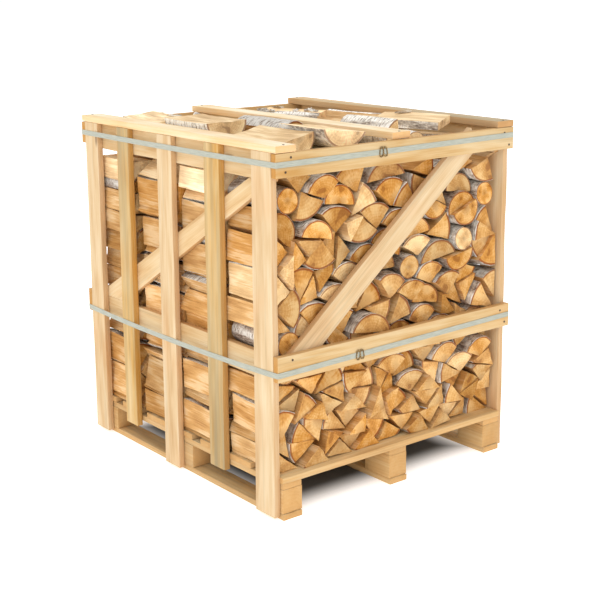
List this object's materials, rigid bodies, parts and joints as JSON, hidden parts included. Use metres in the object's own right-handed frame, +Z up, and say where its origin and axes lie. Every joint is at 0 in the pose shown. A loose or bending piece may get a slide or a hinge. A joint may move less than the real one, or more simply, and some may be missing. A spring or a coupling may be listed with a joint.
{
  "type": "birch firewood pallet crate",
  "caption": "Slatted timber pallet crate, strapped round twice, stacked full of split birch firewood with loose logs on top.",
  "frame": {"origin": "on the floor, under the middle of the crate", "axes": "+X to the right as seen facing the log ends, +Y into the crate along the logs, +Z up"},
  "size_m": [1.003, 1.1265, 1.2],
  "materials": {
    "crate_wood": "rough-sawn softwood boards, pale cream with darker weathered streaks",
    "weathered_wood": "grey-brown weathered sawn board",
    "pallet_wood": "rough-sawn pallet timber",
    "split_birch": "split birch: tan sawn ends and fibrous faces, dark and papery white bark",
    "strap": "woven polyester strapping, grey-green",
    "buckle_wire": "galvanised wire, slightly rusted"
  },
  "bodies": {
    "root": {"bearer_left": "pallet_wood", "bearer_middle": "pallet_wood", "bearer_right": "pallet_wood", "block_left_back": "pallet_wood", "block_left_centre": "pallet_wood", "block_left_front": "pallet_wood", "block_middle_back": "pallet_wood", "block_middle_centre": "pallet_wood", "block_middle_front": "pallet_wood", "block_right_back": "pallet_wood", "block_right_centre": "pallet_wood", "block_right_front": "pallet_wood", "brace_back": "crate_wood", "brace_front": "crate_wood", "brace_left": "crate_wood", "brace_right": "crate_wood", "buckle_mid": "buckle_wire", "buckle_top": "buckle_wire", "deck_board_1": "pallet_wood", "deck_board_2": "pallet_wood", "deck_board_3": "pallet_wood", "deck_board_4": "pallet_wood", "deck_board_5": "pallet_wood", "deck_board_6": "pallet_wood", "deck_board_7": "pallet_wood", "log_row_1": "split_birch", "log_row_2": "split_birch", "log_row_3": "split_birch", "log_row_4": "split_birch", "loose_logs_left": "split_birch", "loose_logs_right": "split_birch", "rail_back_mid": "crate_wood", "rail_back_top": "crate_wood", "rail_front_mid": "crate_wood", "rail_front_top": "crate_wood", "rail_left_mid": "crate_wood", "rail_left_top": "crate_wood", "rail_right_mid": "crate_wood", "rail_right_top": "crate_wood", "skid_left": "pallet_wood", "skid_middle": "pallet_wood", "skid_right": "pallet_wood", "slat_left_back_corner": "crate_wood", "slat_left_back_infill": "crate_wood", "slat_left_centre": "crate_wood", "slat_left_front_corner": "crate_wood", "slat_left_front_infill": "crate_wood", "slat_right_back_corner": "crate_wood", "slat_right_back_infill": "crate_wood", "slat_right_centre": "crate_wood", "slat_right_front_corner": "crate_wood", "slat_right_front_infill": "crate_wood", "strap_mid": "strap", "strap_top": "strap", "top_board_left": "crate_wood", "top_board_middle": "crate_wood", "top_board_right": "weathered_wood"}
  },
  "joints": []
}
